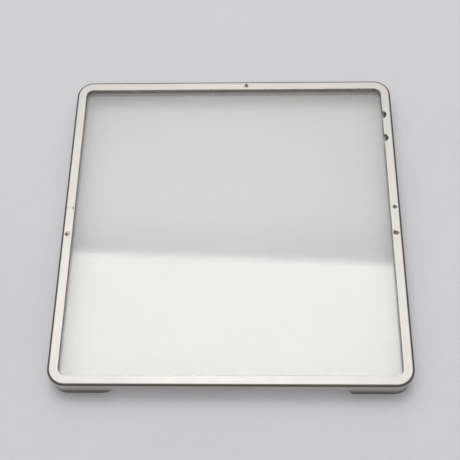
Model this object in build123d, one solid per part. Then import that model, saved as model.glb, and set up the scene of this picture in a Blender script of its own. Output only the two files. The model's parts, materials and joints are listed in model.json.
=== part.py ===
from build123d import *
import os

# One glass half of a film carrier for a large-format enlarger. A clear glass plate lies under
# the rim of a shallow square frame, pressed from one sheet. The frame's skirt stands on the bench
# along three sides and is cut away along the front, between two feet at the corners. Eight cushion
# strips lie between rim and glass. Four spring clips, each held by two rivets, press the glass up
# against the cushions.
#
# Millimetres. X runs to the right, Y from the front side to the rear side, Z up. The origin is
# on the plane that the frame stands on, under the middle of the frame.

# ---- frame: sizes seen from outside
OUTER_WIDTH = 152.4
OUTER_DEPTH = 152.4
FRAME_HEIGHT = 11.0
SHEET = 0.8
BEND_RADIUS = 1.2
CORNER_RADIUS = 7.8
RIM_WIDTH = 4.6
WINDOW_CORNER_RADIUS = 3.2
WINDOW_EDGE_BREAK = 0.15

# ---- frame: the gap along the front, and the foot at each end of it
GAP_SIDE = "front"
SKIRT_DEPTH = 4.5
FOOT_LENGTH = 27.0
FOOT_LONG_CURVE = 6.5
FOOT_SHORT_CURVE = 3.0
FOOT_ROOT_RADIUS = 0.7

# ---- frame: two half-round notches in the right side's inner edge
NOTCH_RADIUS = 1.9
NOTCH_DEPTH = 1.8
NOTCH_PITCH = 13.0
NOTCH_MIDDLE = 49.9

# ---- glass
GLASS_THICKNESS = 2.5
GLASS_CLEARANCE = 0.3
GLASS_EDGE_BREAK = 0.3

# ---- clips
CLIP_LENGTH = 20.0
CLIP_SHEET = 0.4
CLIP_INNER_BEND = 0.3
CLIP_TOP_REACH = 3.2
CLIP_LIP_REACH = 1.6

# ---- rivets
RIVET_PITCH = 13.0
RIVET_INSET = 2.7
RIVET_SHANK_RADIUS = 0.65
RIVET_HEAD_RADIUS = 0.95
RIVET_HEAD_THICKNESS = 0.35
RIVET_TAIL_RADIUS = 1.0
RIVET_TAIL_THICKNESS = 0.2
RIVET_TAIL_CLEARANCE = 0.1

# ---- cushion strips
CUSHION_WIDTH = 2.6
CUSHION_BEND_GAP = 0.1
CUSHION_END_GAP = 0.5

# ---- shallow lines on the rim beside some of the rivets
LINE_DEPTH = 0.12
LINE_WIDTH = 0.3

# ---- worked out from the sizes above
RIM_UNDERSIDE = FRAME_HEIGHT - SHEET
SKIRT_EDGE = FRAME_HEIGHT - SKIRT_DEPTH
CUSHION_THICKNESS = CLIP_SHEET + RIVET_TAIL_THICKNESS + RIVET_TAIL_CLEARANCE
GLASS_TOP = RIM_UNDERSIDE - CUSHION_THICKNESS
GLASS_BOTTOM = GLASS_TOP - GLASS_THICKNESS
GLASS_INSET = SHEET + CLIP_SHEET + GLASS_CLEARANCE
CUSHION_INSET = BEND_RADIUS + CUSHION_BEND_GAP

# Each side is worked out in its own frame: the origin on the skirt's outer face at the middle of
# the side, local X pointing out of the frame and local Y along the side.
SIDES = {
    "right": (OUTER_WIDTH / 2, OUTER_DEPTH, 0),
    "rear": (OUTER_DEPTH / 2, OUTER_WIDTH, 90),
    "left": (OUTER_WIDTH / 2, OUTER_DEPTH, 180),
    "front": (OUTER_DEPTH / 2, OUTER_WIDTH, 270),
}

# What lies at the two ends of each side, towards negative and positive local Y.
SIDE_ENDS = {
    "right": ("front", "rear"),
    "rear": ("right", "left"),
    "left": ("rear", "front"),
    "front": ("left", "right"),
}

# How deep each head sits below the rim, and how far its pocket is widened: outwards, then along
# the side. A rivet that isn't named here is flush and tight in its pocket.
HEAD_SINK = {
    ("right", "rear"): 0.25,
    ("right", "front"): 0.15,
    ("rear", "right"): 0.22,
    ("left", "front"): 0.10,
}
POCKET_SHIFT = {
    ("left", "front"): (0.30, 0.35),
    ("right", "front"): (-0.60, 0.10),
}

# Lines on the rim: the side, then the two ends, each as a distance in from the skirt's outer
# face and a distance along the side.
RIM_LINES = [
    ("right", (0.3, 6.5), (2.0, 6.5)),
    ("right", (0.3, -6.7), (2.0, -6.5)),
    ("right", (2.2, -6.3), (4.2, -4.9)),
    ("rear", (0.3, -6.5), (2.2, -6.5)),
    ("left", (0.3, -6.4), (RIM_WIDTH + 0.4, -6.4)),
]


def rounded_block(width, depth, radius, bottom, top):
    """An upright block with rounded corners, centred on the Z axis."""
    outline = RectangleRounded(width, depth, radius)
    return Pos(0, 0, bottom) * extrude(outline, amount=top - bottom)


def box_between(low, high):
    """A box from its lowest corner to its highest."""
    size = [b - a for a, b in zip(low, high)]
    middle = [(a + b) / 2 for a, b in zip(low, high)]
    return Pos(*middle) * Box(*size)


def on_side(side, shape):
    """Move a shape from a side's own frame to its place on the frame."""
    distance, _, turn = SIDES[side]
    return Rot(0, 0, turn) * Pos(distance, 0, 0) * shape


def upright_pin(inset, along, radius, bottom, top):
    """A vertical cylinder in a side's own frame."""
    return Pos(-inset, along, (bottom + top) / 2) * Cylinder(radius, top - bottom)


def top_edges(solid):
    """The edges of a solid's highest face."""
    return solid.faces().sort_by(Axis.Z)[-1].edges()


def foot_gap(side):
    """The space between a side's two feet: flat along the skirt's edge, with an elliptical curve at
    each foot, long at one end and short at the other."""
    length = SIDES[side][1]
    reach = length / 2 - FOOT_LENGTH
    left_centre = -reach - FOOT_LONG_CURVE
    right_centre = reach + FOOT_SHORT_CURVE
    below = -1.0
    left = (left_centre, SKIRT_EDGE)
    right = (right_centre, SKIRT_EDGE)
    left_curve = EllipticalCenterArc(left, FOOT_LONG_CURVE, SKIRT_EDGE, 270, arc_size=90)
    right_curve = EllipticalCenterArc(right, FOOT_SHORT_CURVE, SKIRT_EDGE, 180, arc_size=90)
    top = Line((-reach, SKIRT_EDGE), (reach, SKIRT_EDGE))
    bottom = Polyline((left_centre, 0), (left_centre, below), (right_centre, below), (right_centre, 0))
    profile = make_face([left_curve, top, right_curve, bottom])
    roots = profile.vertices().sort_by(Axis.Y)[-2:]
    profile = fillet(roots, FOOT_ROOT_RADIUS)
    cut = extrude(Plane.YZ * profile, amount=2 * SHEET, both=True)
    return on_side(side, cut)


def notch(along):
    """One half-round notch through the right side's rim."""
    centre_inset = RIM_WIDTH - NOTCH_DEPTH + NOTCH_RADIUS
    return on_side("right", upright_pin(centre_inset, along, NOTCH_RADIUS, SKIRT_EDGE, FRAME_HEIGHT + 1))


def rivet_seat(side, end, along):
    """The pocket and shank hole for one rivet."""
    sink = HEAD_SINK.get((side, end), 0.0)
    outwards, sideways = POCKET_SHIFT.get((side, end), (0.0, 0.0))
    floor = FRAME_HEIGHT - sink - RIVET_HEAD_THICKNESS
    above = FRAME_HEIGHT + 1
    seat = upright_pin(RIVET_INSET, along, RIVET_HEAD_RADIUS, floor, above)
    seat += upright_pin(RIVET_INSET, along, RIVET_SHANK_RADIUS, RIM_UNDERSIDE - 1, floor)
    if (side, end) in POCKET_SHIFT:
        inset = RIVET_INSET - outwards
        seat += upright_pin(inset, along + sideways, RIVET_HEAD_RADIUS, floor, above)
    return on_side(side, seat)


def rim_line(side, start, end):
    """A shallow straight line cut in the rim's upper face."""
    along_x = start[0] - end[0]
    along_y = end[1] - start[1]
    run = Vector(along_x, along_y)
    turn = Vector(1, 0).get_angle(run)
    if along_y < 0:
        turn = -turn
    middle = (-(start[0] + end[0]) / 2, (start[1] + end[1]) / 2, FRAME_HEIGHT)
    return on_side(side, Pos(*middle) * Rot(0, 0, turn) * Box(run.length, LINE_WIDTH, 2 * LINE_DEPTH))


def make_frame():
    """The pressed frame: rim, bend, skirt and the two front feet in one sheet."""
    shell = rounded_block(OUTER_WIDTH, OUTER_DEPTH, CORNER_RADIUS, 0, FRAME_HEIGHT)
    shell = fillet(top_edges(shell), BEND_RADIUS)
    inner_width = OUTER_WIDTH - 2 * SHEET
    inner_depth = OUTER_DEPTH - 2 * SHEET
    cavity = rounded_block(inner_width, inner_depth, CORNER_RADIUS - SHEET, 0, RIM_UNDERSIDE)
    cavity = fillet(top_edges(cavity), BEND_RADIUS - SHEET)
    window_width = OUTER_WIDTH - 2 * RIM_WIDTH
    window_depth = OUTER_DEPTH - 2 * RIM_WIDTH
    window = rounded_block(window_width, window_depth, WINDOW_CORNER_RADIUS, SKIRT_EDGE, FRAME_HEIGHT + 1)
    shell = shell - cavity - window
    for offset in (-NOTCH_PITCH / 2, NOTCH_PITCH / 2):
        shell -= notch(NOTCH_MIDDLE + offset)
    rim_face = shell.faces().sort_by(Axis.Z)[-1]
    window_edges = rim_face.inner_wires()[0].edges()
    shell = fillet(window_edges, WINDOW_EDGE_BREAK)
    shell -= foot_gap(GAP_SIDE)
    for side, end, along in rivet_places():
        shell -= rivet_seat(side, end, along)
    for side, start, end in RIM_LINES:
        shell -= rim_line(side, start, end)
    return shell


def rivet_places():
    """Each rivet as its side, the end of the side that it is nearer, and its place along it."""
    places = []
    for side, (negative_end, positive_end) in SIDE_ENDS.items():
        places.append((side, negative_end, -RIVET_PITCH / 2))
        places.append((side, positive_end, RIVET_PITCH / 2))
    return places


def make_glass():
    """The glass plate, with its corners rounded to follow the frame and its sharp edges broken."""
    width = OUTER_WIDTH - 2 * GLASS_INSET
    depth = OUTER_DEPTH - 2 * GLASS_INSET
    plate = rounded_block(width, depth, CORNER_RADIUS - GLASS_INSET, GLASS_BOTTOM, GLASS_TOP)
    faces = plate.faces().sort_by(Axis.Z)
    return chamfer(faces[0].edges() + faces[-1].edges(), GLASS_EDGE_BREAK)


def make_clip():
    """One spring clip in a side's own frame: a leg under the rim, a web down the skirt and a lip
    under the glass. The rivets' holes are cut through the leg."""
    wall = -SHEET
    foot = GLASS_BOTTOM - CLIP_SHEET
    outline = [
        (wall - CLIP_TOP_REACH, RIM_UNDERSIDE),
        (wall, RIM_UNDERSIDE),
        (wall, foot),
        (wall - CLIP_LIP_REACH, foot),
        (wall - CLIP_LIP_REACH, GLASS_BOTTOM),
        (wall - CLIP_SHEET, GLASS_BOTTOM),
        (wall - CLIP_SHEET, RIM_UNDERSIDE - CLIP_SHEET),
        (wall - CLIP_TOP_REACH, RIM_UNDERSIDE - CLIP_SHEET),
    ]
    profile = make_face(Polyline(*outline, close=True))
    corners = profile.vertices()
    inner = [v for v in corners if abs(v.X - (wall - CLIP_SHEET)) < 0.001]
    profile = fillet(inner, CLIP_INNER_BEND)
    outer = [v for v in profile.vertices() if abs(v.X - wall) < 0.001]
    profile = fillet(outer, CLIP_INNER_BEND + CLIP_SHEET)
    clip = extrude(Plane.XZ * profile, amount=CLIP_LENGTH / 2, both=True)
    below_leg = RIM_UNDERSIDE - 2 * CLIP_SHEET
    for along in (-RIVET_PITCH / 2, RIVET_PITCH / 2):
        clip -= upright_pin(RIVET_INSET, along, RIVET_SHANK_RADIUS, below_leg, FRAME_HEIGHT)
    return clip


def make_rivet(side, end, along):
    """A rivet: head in the rim's pocket, shank through rim and clip, tail closed under the clip."""
    head_top = FRAME_HEIGHT - HEAD_SINK.get((side, end), 0.0)
    head_bottom = head_top - RIVET_HEAD_THICKNESS
    tail_top = RIM_UNDERSIDE - CLIP_SHEET
    head = upright_pin(RIVET_INSET, along, RIVET_HEAD_RADIUS, head_bottom, head_top)
    shank = upright_pin(RIVET_INSET, along, RIVET_SHANK_RADIUS, tail_top, head_bottom)
    tail = upright_pin(RIVET_INSET, along, RIVET_TAIL_RADIUS, tail_top - RIVET_TAIL_THICKNESS, tail_top)
    return on_side(side, head + shank + tail)


def make_cushion(side, direction):
    """A cushion strip from beside the clip to the end of the side. The front and rear strips run
    to the corners, and the left and right strips stop against them."""
    length = SIDES[side][1]
    start = CLIP_LENGTH / 2 + CUSHION_END_GAP
    stop = length / 2 - CUSHION_INSET
    if side in ("left", "right"):
        stop -= CUSHION_WIDTH
    ends = sorted((direction * start, direction * stop))
    low = (-CUSHION_INSET - CUSHION_WIDTH, ends[0], GLASS_TOP)
    high = (-CUSHION_INSET, ends[1], RIM_UNDERSIDE)
    strip = box_between(low, high)
    inside_width = OUTER_WIDTH - 2 * CUSHION_INSET
    inside_depth = OUTER_DEPTH - 2 * CUSHION_INSET
    inside_radius = CORNER_RADIUS - CUSHION_INSET
    inside = rounded_block(inside_width, inside_depth, inside_radius, GLASS_TOP, RIM_UNDERSIDE)
    return on_side(side, strip) & inside


def make_parts():
    """Every node's name with its solid."""
    parts = {"frame": make_frame(), "glass": make_glass()}
    for side, (negative_end, positive_end) in SIDE_ENDS.items():
        parts[f"clip_{side}"] = on_side(side, make_clip())
        parts[f"cushion_{side}_{negative_end}"] = make_cushion(side, -1)
        parts[f"cushion_{side}_{positive_end}"] = make_cushion(side, 1)
    for side, end, along in rivet_places():
        parts[f"rivet_{side}_{end}"] = make_rivet(side, end, along)
    return parts


os.makedirs("parts", exist_ok=True)
for name, solid in make_parts().items():
    export_step(solid, f"parts/{name}.step")
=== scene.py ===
"""The looks of one half of a glass film carrier: satin metal frame, clear glass, felt and clips."""
import json
import math
import random

import bmesh
import bpy
from mathutils import Matrix, Vector


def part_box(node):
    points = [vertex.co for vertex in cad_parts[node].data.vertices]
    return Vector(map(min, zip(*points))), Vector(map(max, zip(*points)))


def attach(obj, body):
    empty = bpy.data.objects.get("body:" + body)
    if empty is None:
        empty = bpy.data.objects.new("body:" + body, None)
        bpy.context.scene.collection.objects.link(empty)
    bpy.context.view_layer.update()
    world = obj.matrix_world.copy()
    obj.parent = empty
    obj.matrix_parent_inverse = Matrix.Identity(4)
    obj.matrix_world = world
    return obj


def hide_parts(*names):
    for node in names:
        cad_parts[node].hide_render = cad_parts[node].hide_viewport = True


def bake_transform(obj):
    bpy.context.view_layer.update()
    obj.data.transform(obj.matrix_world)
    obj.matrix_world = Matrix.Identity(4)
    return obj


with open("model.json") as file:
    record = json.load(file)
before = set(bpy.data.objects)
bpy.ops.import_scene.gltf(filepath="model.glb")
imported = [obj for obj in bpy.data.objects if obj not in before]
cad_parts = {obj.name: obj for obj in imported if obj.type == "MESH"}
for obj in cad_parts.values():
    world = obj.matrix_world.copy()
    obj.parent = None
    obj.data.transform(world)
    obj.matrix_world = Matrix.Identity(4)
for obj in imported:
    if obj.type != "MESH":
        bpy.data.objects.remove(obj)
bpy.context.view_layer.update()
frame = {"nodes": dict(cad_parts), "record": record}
nodes = frame["nodes"]
frame_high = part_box("frame")[1]
glass_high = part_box("glass")[1]
RIM_TOP = frame_high.z
HALF_WIDTH = frame_high.x
HALF_DEPTH = frame_high.y
GLASS_TOP = glass_high.z

MM = 0.001
SIDE_TURNS = {"right": 0, "rear": 90, "left": 180, "front": 270}
SIDE_ENDS = {
    "right": ("front", "rear"),
    "rear": ("right", "left"),
    "left": ("rear", "front"),
    "front": ("left", "right"),
}

# ---- camera, fitted to the frame's straight edges
CAMERA_PLACE = (0.0101, -0.1666, 0.3401)
CAMERA_TARGET = (-0.0006, -0.0050, 0.011)
CAMERA_ROLL = math.radians(-3.50)
CAMERA_LENS = 64.2
SENSOR_WIDTH = 36.0
CAMERA_NEAR = 0.01


def add_camera():
    data = bpy.data.cameras.new("camera")
    data.lens = CAMERA_LENS
    data.sensor_width = SENSOR_WIDTH
    data.clip_start = CAMERA_NEAR
    camera = bpy.data.objects.new("camera", data)
    bpy.context.scene.collection.objects.link(camera)
    view = Vector(CAMERA_TARGET) - Vector(CAMERA_PLACE)
    turn = view.to_track_quat("-Z", "Y").to_matrix().to_4x4()
    roll = Matrix.Rotation(CAMERA_ROLL, 4, "Z")
    camera.matrix_world = Matrix.Translation(CAMERA_PLACE) @ turn @ roll
    bpy.context.scene.camera = camera


class Nodes:
    """A short way to build the nodes of a material or a world."""

    def __init__(self, owner, kind="Material"):
        self.owner = owner
        owner.use_nodes = True
        self.tree = owner.node_tree
        self.tree.nodes.clear()
        self.output = self.tree.nodes.new("ShaderNodeOutput" + kind)

    def add(self, kind, values=(), **settings):
        """A node of this kind. values is a list of (input, value or socket)."""
        node = self.tree.nodes.new("ShaderNode" + kind)
        for name, value in settings.items():
            setattr(node, name, value)
        for name, value in values:
            self.put(node.inputs[name], value)
        return node

    def put(self, socket, value):
        if isinstance(value, bpy.types.NodeSocket):
            self.tree.links.new(value, socket)
        else:
            socket.default_value = value

    def maths(self, operation, *values):
        node = self.add("Math", operation=operation)
        for socket, value in zip(node.inputs, values):
            self.put(socket, value)
        return node.outputs[0]

    def vector_maths(self, operation, *values):
        node = self.add("VectorMath", operation=operation)
        for socket, value in zip(node.inputs, values):
            self.put(socket, value)
        return node.outputs["Value"] if operation == "DISTANCE" else node.outputs[0]

    def place(self):
        """Where the surface is, in metres, in the object's own frame."""
        return self.add("TexCoord").outputs["Object"]

    def split(self, vector):
        return self.add("SeparateXYZ", [("Vector", vector)]).outputs

    def noise(self, vector, scale=1.0, detail=2.0, roughness=0.5):
        shape = [("Scale", scale), ("Detail", detail), ("Roughness", roughness)]
        return self.add("TexNoise", [("Vector", vector)] + shape).outputs[0]

    def remap(self, value, low, high, to_low=0.0, to_high=1.0, smooth=False):
        node = self.add("MapRange", interpolation_type="SMOOTHSTEP" if smooth else "LINEAR")
        ranges = {"From Min": low, "From Max": high, "To Min": to_low, "To Max": to_high}
        for name, number in ranges.items():
            node.inputs[name].default_value = number
        self.put(node.inputs["Value"], value)
        return node.outputs[0]

    def blend(self, factor, low, high, kind="RGBA"):
        """A mix of two colours, or of two numbers."""
        node = self.add("Mix", data_type=kind)
        sockets = [socket for socket in node.inputs if socket.enabled]
        for socket, value in zip(sockets, (factor, low, high)):
            self.put(socket, value)
        return [socket for socket in node.outputs if socket.enabled][0]

    def bump(self, height, strength, distance):
        values = [("Height", height), ("Strength", strength), ("Distance", distance)]
        return self.add("Bump", values).outputs[0]

    def principled(self, **values):
        names = [(name.replace("_", " "), value) for name, value in values.items()]
        return self.add("BsdfPrincipled", names).outputs[0]

    def finish(self, shader):
        self.tree.links.new(shader, self.output.inputs["Surface"])
        return self.owner


def new_material(name):
    return Nodes(bpy.data.materials.new(name))


# ---- metal of the frame
RIM_PALE = (0.304, 0.293, 0.281, 1)
RIM_DULL = (0.273, 0.261, 0.247, 1)
RIM_STREAK = (0.332, 0.321, 0.306, 1)
RIM_FLECK = (0.235, 0.223, 0.205, 1)
# the bend at the rim's outer edge is painted dark: painted shade for the dark room it reflects
BEND_PAINTED_SHADE = (0.130, 0.123, 0.112, 1)
# the skirt is painted paler than the rim's face: painted light on the sides
SKIRT_PAINTED_LIGHT = (0.55, 0.52, 0.495, 1)
SKIRT_PAINTED_LIGHT_PALE = (0.61, 0.58, 0.55, 1)
# the inside of the pressing is painted paler still: painted light against the shade under the rim
INSIDE_PAINTED_LIGHT = (0.86, 0.825, 0.785, 1)
# painted shade: the skirt's colour near the bench
FOOT_PAINTED_SHADE = (0.165, 0.145, 0.137, 1)
# grime for the smudge; the same colour is painted shade in the sunk pockets and lines
GRIME_AND_SHADE = (0.045, 0.036, 0.028, 1)
STAIN = (0.46, 0.36, 0.28, 1)
CORNER_RADIUS = 7.8 * MM
# the rim's flat lies between these insets from the outline; the marks are all near the middle
FLAT_START = 1.3 * MM
FLAT_END = 4.35 * MM
MARKS_REACH = 19.0 * MM
SOFT_STEP = 0.1 * MM
# depths under the rim's face
FACE_DEPTHS = (0.003 * MM, 0.03 * MM)
SUNK_SHADE_DEPTHS = (0.04 * MM, 0.09 * MM)
SHEET_DEPTHS = (0.5 * MM, 0.6 * MM)
BEND_DEPTHS = (0.45 * MM, 1.2 * MM)
# the inside of the pressing, painted paler as painted light, told from the outside by inset and
# depth
SKIN_INSET = 0.6 * MM
WINDOW_INSET = 4.2 * MM
INSIDE_DEPTH = 0.6 * MM
# painted shade: the skirt is painted darker between these heights, down to the bench
FOOT_SHADE_HEIGHTS = (1.0 * MM, 7.0 * MM)
# patches beside a rivet: right and back of its middle and radius, in millimetres, then strength
LEFT_STAIN = ("rivet_left_front", -0.3, 1.9, 2.6, 0.22)
LEFT_SMUDGE = ("rivet_left_rear", 1.2, -0.1, 0.9, 0.75)
# LEFT_GLINT is a painted highlight on a rivet's head
LEFT_GLINT = ("rivet_left_front", 0.15, 0.3, 0.7, 0.9)
PATCH_CORE = 0.3


def rail_grain(n, place, across, along):
    """Noise drawn out along whichever rail the surface is nearest to."""
    x, y, z = n.split(place)
    on_side_rail = n.maths("GREATER_THAN", n.maths("ABSOLUTE", x), n.maths("ABSOLUTE", y))
    with_x = n.noise(n.vector_maths("MULTIPLY", place, (along, across, across)), 1.0, 3.0, 0.6)
    with_y = n.noise(n.vector_maths("MULTIPLY", place, (across, along, across)), 1.0, 3.0, 0.6)
    return n.blend(on_side_rail, with_x, with_y, "FLOAT")


def inset_from_edge(n, x, y):
    """How far a point lies inside the frame's rounded outline, seen from above."""
    over_x = n.maths("SUBTRACT", n.maths("ABSOLUTE", x), HALF_WIDTH - CORNER_RADIUS)
    over_y = n.maths("SUBTRACT", n.maths("ABSOLUTE", y), HALF_DEPTH - CORNER_RADIUS)
    round_x = n.maths("MAXIMUM", over_x, 0.0)
    round_y = n.maths("MAXIMUM", over_y, 0.0)
    square_x = n.maths("MULTIPLY", round_x, round_x)
    square_y = n.maths("MULTIPLY", round_y, round_y)
    squares = n.maths("ADD", square_x, square_y)
    straight = n.maths("MINIMUM", n.maths("MAXIMUM", over_x, over_y), 0.0)
    outwards = n.maths("ADD", n.maths("SQRT", squares), straight)
    return n.maths("SUBTRACT", CORNER_RADIUS, outwards)


def patch(n, place, rivet, right, back, radius, strength):
    """A soft round patch seen from above, placed so many millimetres right and back of a rivet."""
    low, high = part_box(rivet)
    middle = ((low.x + high.x) / 2 + right * MM, (low.y + high.y) / 2 + back * MM, 0.0)
    flat = n.vector_maths("MULTIPLY", place, (1.0, 1.0, 0.0))
    distance = n.vector_maths("DISTANCE", flat, middle)
    return n.remap(distance, PATCH_CORE * radius * MM, radius * MM, strength, 0.0, smooth=True)


def sunk_mark_shade(n, place):
    """1 in the pockets and scratched lines of the rim's flat, near the middle of each rail: the
    mask of their painted shade.
    """
    x, y, z = n.split(place)
    inset = inset_from_edge(n, x, y)
    along = n.maths("MINIMUM", n.maths("ABSOLUTE", x), n.maths("ABSOLUTE", y))
    mask = n.remap(z, RIM_TOP - SUNK_SHADE_DEPTHS[1], RIM_TOP - SUNK_SHADE_DEPTHS[0], 1.0, 0.0)
    limits = [
        n.remap(z, RIM_TOP - SHEET_DEPTHS[1], RIM_TOP - SHEET_DEPTHS[0]),
        n.remap(along, MARKS_REACH, MARKS_REACH + MM, 1.0, 0.0),
        n.remap(inset, FLAT_START - SOFT_STEP, FLAT_START),
        n.remap(inset, FLAT_END, FLAT_END + SOFT_STEP, 1.0, 0.0),
    ]
    for limit in limits:
        mask = n.maths("MULTIPLY", mask, limit)
    return mask


def satin_nickel():
    n = new_material("satin_nickel")
    place = n.place()
    x, y, z = n.split(place)
    fine = rail_grain(n, place, 9000.0, 260.0)
    coarse = rail_grain(n, place, 1400.0, 45.0)
    cloud = n.noise(place, 70.0, 4.0, 0.6)
    fleck = n.noise(place, 1500.0, 3.0, 0.65)
    face = n.blend(n.remap(cloud, 0.32, 0.68), RIM_DULL, RIM_PALE)
    face = n.blend(n.remap(coarse, 0.42, 0.62, 0.0, 0.35), face, RIM_STREAK)
    face = n.blend(n.remap(fleck, 0.66, 0.74, 0.0, 0.35), face, RIM_FLECK)
    # painted light: the skirt's pale colour
    skirt = n.blend(n.remap(cloud, 0.35, 0.65), SKIRT_PAINTED_LIGHT, SKIRT_PAINTED_LIGHT_PALE)
    # painted shade: darker towards the bench
    skirt = n.blend(n.remap(z, *FOOT_SHADE_HEIGHTS), FOOT_PAINTED_SHADE, skirt)
    # where the bend's painted shade goes
    on_bend = n.remap(z, RIM_TOP - BEND_DEPTHS[1], RIM_TOP - BEND_DEPTHS[0], smooth=True)
    inset = inset_from_edge(n, x, y)
    behind_skin = n.maths("GREATER_THAN", inset, SKIN_INSET)
    under_rim = n.maths("LESS_THAN", z, RIM_TOP - INSIDE_DEPTH)
    at_window = n.maths("GREATER_THAN", inset, WINDOW_INSET)
    inside = n.maths("MAXIMUM", at_window, n.maths("MULTIPLY", behind_skin, under_rim))
    # painted light inside, painted shade on the bend
    side = n.blend(inside, n.blend(on_bend, skirt, BEND_PAINTED_SHADE), INSIDE_PAINTED_LIGHT)
    on_face = n.remap(z, RIM_TOP - FACE_DEPTHS[1], RIM_TOP - FACE_DEPTHS[0], smooth=True)
    face = n.blend(patch(n, place, *LEFT_STAIN), face, STAIN)
    face = n.blend(patch(n, place, *LEFT_SMUDGE), face, GRIME_AND_SHADE)
    colour = n.blend(on_face, side, face)
    # painted shade in the sunk pockets and scratched lines
    colour = n.blend(sunk_mark_shade(n, place), colour, GRIME_AND_SHADE)
    fine_rough = n.remap(fine, 0.3, 0.7, 0.35, 0.45)
    cloud_rough = n.remap(cloud, 0.3, 0.7, -0.03, 0.04)
    rough = n.maths("ADD", fine_rough, cloud_rough)
    grain = n.maths("ADD", fine, n.maths("MULTIPLY", coarse, 0.8))
    normal = n.bump(grain, 0.15, 0.04 * MM)
    shader = n.principled(Base_Color=colour, Metallic=1.0, Roughness=rough, Normal=normal)
    return n.finish(shader)


def clear_glass():
    n = new_material("clear_glass")
    tint = (0.985, 0.99, 0.975, 1)
    shader = n.principled(Base_Color=tint, Roughness=0.0, IOR=1.52, Transmission_Weight=1.0)
    return n.finish(shader)


def black_felt():
    n = new_material("black_cushion")
    place = n.place()
    fluff = n.noise(place, 3500.0, 4.0, 0.7)
    colour = n.blend(n.remap(fluff, 0.35, 0.7), (0.022, 0.021, 0.020, 1), (0.085, 0.081, 0.077, 1))
    normal = n.bump(fluff, 0.7, 0.2 * MM)
    shader = n.principled(Base_Color=colour, Roughness=0.93, Normal=normal, Sheen_Weight=0.25)
    return n.finish(shader)


def spring_steel():
    n = new_material("spring_steel")
    place = n.place()
    cloud = n.noise(place, 260.0, 3.0, 0.6)
    fleck = n.noise(place, 2600.0, 3.0, 0.6)
    colour = n.blend(n.remap(cloud, 0.35, 0.65), (0.20, 0.225, 0.28, 1), (0.40, 0.37, 0.34, 1))
    colour = n.blend(n.remap(fleck, 0.55, 0.75, 0.0, 0.5), colour, (0.13, 0.125, 0.12, 1))
    rough = n.remap(fleck, 0.3, 0.7, 0.26, 0.42)
    normal = n.bump(fleck, 0.08, 0.05 * MM)
    shader = n.principled(Base_Color=colour, Metallic=1.0, Roughness=rough, Normal=normal)
    return n.finish(shader)


LEVEL_HEAD_DEPTH = 0.03 * MM
SUNK_HEAD_DEPTH = 0.09 * MM
TAIL_DEPTHS = (0.7 * MM, 0.9 * MM)


def rivet_metal():
    """Like the rim where a rivet is level with it, painted dark where it is sunk: painted shade in
    the pocket.
    """
    n = new_material("rivet_metal")
    place = n.place()
    x, y, z = n.split(place)
    cloud = n.noise(place, 1800.0, 3.0, 0.6)
    bright = n.blend(cloud, RIM_DULL, RIM_STREAK)
    dark = n.blend(cloud, (0.03, 0.026, 0.022, 1), (0.14, 0.12, 0.10, 1))
    # sunk heads are painted dark: painted shade
    level = n.remap(z, RIM_TOP - SUNK_HEAD_DEPTH, RIM_TOP - LEVEL_HEAD_DEPTH)
    tail = n.remap(z, RIM_TOP - TAIL_DEPTHS[1], RIM_TOP - TAIL_DEPTHS[0], 1.0, 0.0)
    # a painted highlight on the left front rivet's head
    glint = patch(n, place, *LEFT_GLINT)
    bright_share = n.maths("MAXIMUM", n.maths("MAXIMUM", level, tail), glint)
    colour = n.blend(bright_share, dark, bright)
    rough = n.remap(cloud, 0.3, 0.7, 0.36, 0.5)
    normal = n.bump(cloud, 0.1, 0.05 * MM)
    shader = n.principled(Base_Color=colour, Metallic=1.0, Roughness=rough, Normal=normal)
    return n.finish(shader)


def dust_grey():
    n = new_material("dust")
    cloud = n.noise(n.place(), 900.0, 2.0, 0.6)
    colour = n.blend(n.remap(cloud, 0.45, 0.55), (0.20, 0.19, 0.18, 1), (0.62, 0.61, 0.60, 1))
    return n.finish(n.principled(Base_Color=colour, Roughness=0.9))


def table_top():
    n = new_material("table_top")
    place = n.place()
    cloud = n.noise(place, 14.0, 3.0, 0.5)
    mottle = n.noise(place, 160.0, 4.0, 0.6)
    speck = n.noise(place, 900.0, 2.0, 0.6)
    broad = n.remap(cloud, 0.3, 0.7, 0.0, 0.6)
    close = n.remap(mottle, 0.3, 0.7, 0.0, 0.4)
    mixed = n.maths("ADD", broad, close)
    colour = n.blend(mixed, (0.442, 0.442, 0.461, 1), (0.465, 0.465, 0.484, 1))
    normal = n.bump(speck, 0.05, 0.2 * MM)
    shader = n.principled(Base_Color=colour, Roughness=0.6, Specular_IOR_Level=0.3, Normal=normal)
    return n.finish(shader)


MATERIALS = {
    "satin_nickel": satin_nickel(),
    "clear_glass": clear_glass(),
    "black_cushion": black_felt(),
    "spring_steel": spring_steel(),
    "rivet_metal": rivet_metal(),
}


def finish_cad_nodes():
    """Give every CAD node the material of its slot in the record."""
    for part in frame["record"]["subparts"]:
        for slot in nodes[part["node"]].material_slots:
            slot.material = MATERIALS[part["material_slot"]]


def mesh_object(name, mesh, material):
    piece = bpy.data.objects.new(name, mesh)
    bpy.context.scene.collection.objects.link(piece)
    mesh.materials.append(material)
    return piece


def on_side(side, inset, along, height):
    """A point given from a side's outer face, as a place in the frame."""
    turn = math.radians(SIDE_TURNS[side])
    reach = HALF_WIDTH if side in ("right", "left") else HALF_DEPTH
    outwards = reach - inset
    across = outwards * math.cos(turn) - along * math.sin(turn)
    deep = outwards * math.sin(turn) + along * math.cos(turn)
    return (across, deep, height)


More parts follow.
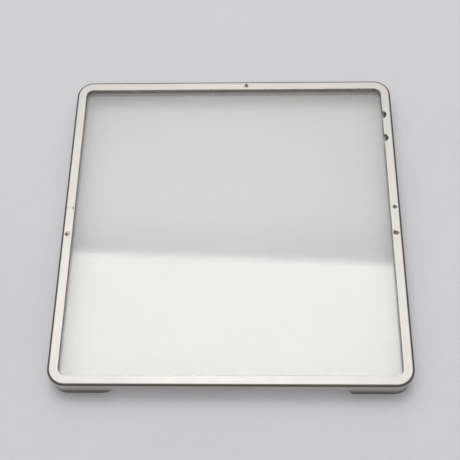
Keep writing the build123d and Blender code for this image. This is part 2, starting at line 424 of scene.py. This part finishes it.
def skin(name, sections, material, sharp_angle):
    """One closed mesh from rings of points, each joined to the next and capped at the two ends."""
    mesh = bpy.data.meshes.new(name)
    bm = bmesh.new()
    rings = [[bm.verts.new(point) for point in section] for section in sections]
    count = len(rings[0])
    for ring, following in zip(rings, rings[1:]):
        for i in range(count):
            j = (i + 1) % count
            bm.faces.new((ring[i], ring[j], following[j], following[i]))
    bm.faces.new(rings[0][::-1])
    bm.faces.new(rings[-1])
    bmesh.ops.recalc_face_normals(bm, faces=bm.faces)
    for edge in bm.edges:
        edge.smooth = len(edge.link_faces) == 2 and edge.calc_face_angle() < sharp_angle
    for face in bm.faces:
        face.smooth = True
    bm.to_mesh(mesh)
    bm.free()
    return mesh_object(name, mesh, material)


def arc(middle, radius, start, stop, steps):
    """Points on an arc, as (inset, height), from one angle to another in degrees."""
    points = []
    for i in range(steps + 1):
        angle = math.radians(start + (stop - start) * i / steps)
        points.append((middle[0] + radius * math.cos(angle), middle[1] + radius * math.sin(angle)))
    return points


# ---- spring clips
CLIP_SHEET = 0.4 * MM
CLIP_INNER_BEND = 0.3 * MM
CLIP_LEG_REACH = 3.2 * MM
CLIP_LIP_REACH = 1.6 * MM
CLIP_LEAF_CORNER = 0.9 * MM
CLIP_LIP_ROUND = 0.05 * MM
CLIP_LIP_BACK = 0.8
CLIP_STATIONS = 44


def clip_section(skin_inset, top, bottom, leg_tip, lip_tip):
    """The clip's C outline: leg at the top, web against the skirt, lip at the bottom."""
    outer = CLIP_INNER_BEND + CLIP_SHEET
    inner = CLIP_INNER_BEND
    high = (skin_inset + outer, top - outer)
    low = (skin_inset + outer, bottom + outer)
    points = [(leg_tip, top)]
    points += arc(high, outer, 90, 180, 7)
    points += arc(low, outer, 180, 270, 7)
    points += [(lip_tip, bottom)]
    points += [(lip_tip + CLIP_LIP_ROUND, bottom + CLIP_SHEET / 2)]
    points += [(lip_tip, bottom + CLIP_SHEET)]
    points += arc(low, inner, 270, 180, 5)
    points += arc(high, inner, 180, 90, 5)
    points += [(leg_tip, top - CLIP_SHEET)]
    return points


def leaf_tip(distance, corner):
    """How much a leaf's tip is rounded back at this distance from the clip's end."""
    if distance >= corner:
        return 0.0
    return corner - math.sqrt(corner ** 2 - (corner - distance) ** 2)


def add_clip(side):
    """A spring clip of C section with rounded leaf ends, built in place of the CAD clip."""
    name = f"clip_{side}"
    low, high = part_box(name)
    length = max(high.x - low.x, high.y - low.y)
    if side in ("right", "left"):
        skin_inset = HALF_WIDTH - max(abs(low.x), abs(high.x))
    else:
        skin_inset = HALF_DEPTH - max(abs(low.y), abs(high.y))
    sections = []
    for i in range(CLIP_STATIONS + 1):
        # stations crowd towards the two ends, where the leaves are rounded
        phase = math.pi * i / CLIP_STATIONS
        along = -length / 2 * math.cos(phase)
        back = leaf_tip(length / 2 - abs(along), CLIP_LEAF_CORNER)
        leg_tip = skin_inset + CLIP_LEG_REACH - back
        lip_tip = skin_inset + CLIP_LIP_REACH - CLIP_LIP_ROUND - CLIP_LIP_BACK * back
        outline = clip_section(skin_inset, high.z, low.z, leg_tip, lip_tip)
        sections.append([on_side(side, inset, along, height) for inset, height in outline])
    clip = skin(f"spring_{side}", sections, MATERIALS["spring_steel"], math.radians(35))
    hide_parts(name)
    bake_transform(clip)


# ---- felt strips
FELT_ROUND = 0.16 * MM
FELT_STEP = 1.0 * MM
FELT_FRAY = 0.035 * MM
FELT_CORNER = 6.5 * MM


def felt_section(near, far, low, high, rng):
    """A strip's outline, a little rounded and frayed along its long edges."""
    near += rng.uniform(0.0, FELT_FRAY)
    far -= rng.uniform(0.0, FELT_FRAY)
    r = FELT_ROUND
    points = []
    points += arc((far - r, high - r), r, 0, 90, 3)
    points += arc((near + r, high - r), r, 90, 180, 3)
    points += arc((near + r, low + r), r, 180, 270, 3)
    points += arc((far - r, low + r), r, 270, 360, 3)
    return points


def add_felt(side, direction, end, rng):
    """A felt strip, cut to follow the frame's corner where it runs into one."""
    name = f"cushion_{side}_{end}"
    low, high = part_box(name)
    along_y = side in ("right", "left")
    reach = HALF_WIDTH if along_y else HALF_DEPTH
    across_span = [abs(low.x), abs(high.x)] if along_y else [abs(low.y), abs(high.y)]
    near = reach - max(across_span)
    far = reach - min(across_span)
    run = [low.y, high.y] if along_y else [low.x, high.x]
    start = min(abs(run[0]), abs(run[1]))
    stop = max(abs(run[0]), abs(run[1]))
    deepest_cut = far - near - 3 * FELT_ROUND
    steps = round((stop - start) / FELT_STEP)
    sections = []
    for i in range(steps + 1):
        distance = start + (stop - start) * i / steps
        from_corner = (HALF_WIDTH - near) - distance
        cut = 0.0 if along_y else leaf_tip(max(from_corner, 0.0), FELT_CORNER)
        outline = felt_section(near + min(cut, deepest_cut), far, low.z, high.z, rng)
        along = direction * distance
        sections.append([on_side(side, inset, along, height) for inset, height in outline])
    felt = skin(f"felt_{side}_{end}", sections, MATERIALS["black_cushion"], math.radians(70))
    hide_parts(name)
    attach(felt, "frame")


# ---- specks of dust on the glass
DUST_COUNT = 34
DUST_SIZES = (0.05 * MM, 0.16 * MM)
DUST_REACH = 68.0 * MM
DUST_FLATNESS = 0.25


def add_dust(rng):
    """Flattened specks lying on the glass, thinly scattered."""
    mesh = bpy.data.meshes.new("dust")
    bm = bmesh.new()
    for _ in range(DUST_COUNT):
        size = rng.uniform(*DUST_SIZES)
        across = rng.uniform(-DUST_REACH, DUST_REACH)
        deep = rng.uniform(-DUST_REACH, DUST_REACH)
        place = Matrix.Translation((across, deep, GLASS_TOP + DUST_FLATNESS * size))
        turn = Matrix.Rotation(rng.uniform(0, math.pi), 4, "Z")
        shape = Matrix.Diagonal((size * rng.uniform(0.6, 1.8), size, DUST_FLATNESS * size, 1))
        bmesh.ops.create_icosphere(bm, subdivisions=2, radius=1.0, matrix=place @ turn @ shape)
    for face in bm.faces:
        face.smooth = True
    bm.to_mesh(mesh)
    bm.free()
    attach(mesh_object("dust", mesh, dust_grey()), "glass")


TABLE_REACH = 3.0


def add_table():
    reach = TABLE_REACH
    mesh = bpy.data.meshes.new("table")
    corners = [(-reach, -reach, 0), (reach, -reach, 0), (reach, reach, 0), (-reach, reach, 0)]
    mesh.from_pydata(corners, [], [(0, 1, 2, 3)])
    mesh_object("table", mesh, table_top())


# ---- light: a soft box overhead, with a large soft glow round it from above and a little behind
SOFTBOX_HEIGHT = 0.90
SOFTBOX_LEFT = -0.45
SOFTBOX_RIGHT = 0.234
SOFTBOX_NEAR = 0.05
SOFTBOX_FAR = 0.393
SOFTBOX_TURN = math.radians(-2.4)
SOFTBOX_LEVEL = 6.2
GLOW_LEVEL = 3.50
GLOW_FLOOR = 0.50
SOFTBOX_SLOW_SIDE = 0.2
SOFTBOX_SLOW_NEAR = 0.12
SOFTBOX_SHARP_SIDE = 0.012
SOFTBOX_SHARP_FAR = 0.022
# the glow's middle and spread, as sideways or rearward distance for each unit of height
GLOW_MIDDLE_X = -0.05
GLOW_MIDDLE_Y = 0.45
GLOW_SPREAD_X = 0.42
GLOW_SPREAD_FRONT = 0.55
GLOW_SPREAD_REAR = 0.48
GLOW_FRONT_SHARE = 0.8
GLOW_STEP = (0.01, 0.08)


def soft_light():
    """Even light, fading slowly at the box's left and near edges and quickly at the others."""
    n = new_material("soft_light")
    x, y, z = n.split(n.place())
    sharp_right = SOFTBOX_RIGHT - SOFTBOX_SHARP_SIDE
    sharp_far = SOFTBOX_FAR - SOFTBOX_SHARP_FAR
    edges = [
        n.remap(x, sharp_right, SOFTBOX_RIGHT, 1.0, 0.0, smooth=True),
        n.remap(y, SOFTBOX_NEAR, SOFTBOX_NEAR + SOFTBOX_SLOW_NEAR, smooth=True),
        n.remap(y, sharp_far, SOFTBOX_FAR, 1.0, 0.0, smooth=True),
    ]
    fade = n.remap(x, SOFTBOX_LEFT, SOFTBOX_LEFT + SOFTBOX_SLOW_SIDE, smooth=True)
    for edge in edges:
        fade = n.maths("MULTIPLY", fade, edge)
    light = n.add("Emission", [("Color", (1.0, 0.995, 0.98, 1)), ("Strength", SOFTBOX_LEVEL)])
    clear = n.add("BsdfTransparent")
    mix = n.add("MixShader", [(0, fade), (1, clear.outputs[0]), (2, light.outputs[0])])
    return n.finish(mix.outputs[0])


def add_softbox():
    mesh = bpy.data.meshes.new("softbox")
    corners = [(SOFTBOX_LEFT, SOFTBOX_NEAR, 0), (SOFTBOX_LEFT, SOFTBOX_FAR, 0)]
    corners += [(SOFTBOX_RIGHT, SOFTBOX_FAR, 0), (SOFTBOX_RIGHT, SOFTBOX_NEAR, 0)]
    mesh.from_pydata(corners, [], [(0, 1, 2, 3)])
    softbox = mesh_object("softbox", mesh, soft_light())
    softbox.location = (0, 0, SOFTBOX_HEIGHT)
    softbox.rotation_euler = (0, 0, SOFTBOX_TURN)
    softbox.visible_camera = False


def add_room():
    """Room light by direction: brightest overhead and behind, falling off to dim low down."""
    n = Nodes(bpy.data.worlds.new("room"), "World")
    bpy.context.scene.world = n.owner
    direction = n.add("TexCoord").outputs["Generated"]
    x, y, z = n.split(direction)
    height = n.maths("MAXIMUM", z, 0.02)
    lean_x = n.maths("SUBTRACT", n.maths("DIVIDE", x, height), GLOW_MIDDLE_X)
    lean_y = n.maths("SUBTRACT", n.maths("DIVIDE", y, height), GLOW_MIDDLE_Y)
    behind = n.maths("GREATER_THAN", lean_y, 0.0)
    spread_y = n.blend(behind, GLOW_SPREAD_FRONT, GLOW_SPREAD_REAR, "FLOAT")
    far_x = n.maths("DIVIDE", lean_x, GLOW_SPREAD_X)
    far_y = n.maths("DIVIDE", lean_y, spread_y)
    far = n.maths("ADD", n.maths("MULTIPLY", far_x, far_x), n.maths("MULTIPLY", far_y, far_y))
    glow = n.maths("EXPONENT", n.maths("MULTIPLY", far, -0.5))
    front_share = n.remap(lean_y, *GLOW_STEP, GLOW_FRONT_SHARE, 1.0, smooth=True)
    level = n.maths("MULTIPLY", n.maths("MULTIPLY", glow, front_share), GLOW_LEVEL)
    level = n.maths("ADD", level, GLOW_FLOOR)
    background = n.add("Background", [("Color", (1.0, 0.995, 0.99, 1)), ("Strength", level)])
    n.finish(background.outputs[0])


random_source = random.Random(7)
add_camera()
finish_cad_nodes()
for side, (negative_end, positive_end) in SIDE_ENDS.items():
    add_clip(side)
    add_felt(side, -1, negative_end, random_source)
    add_felt(side, 1, positive_end, random_source)
add_dust(random_source)
add_table()
add_softbox()
add_room()
bpy.context.scene.view_settings.view_transform = "Standard"
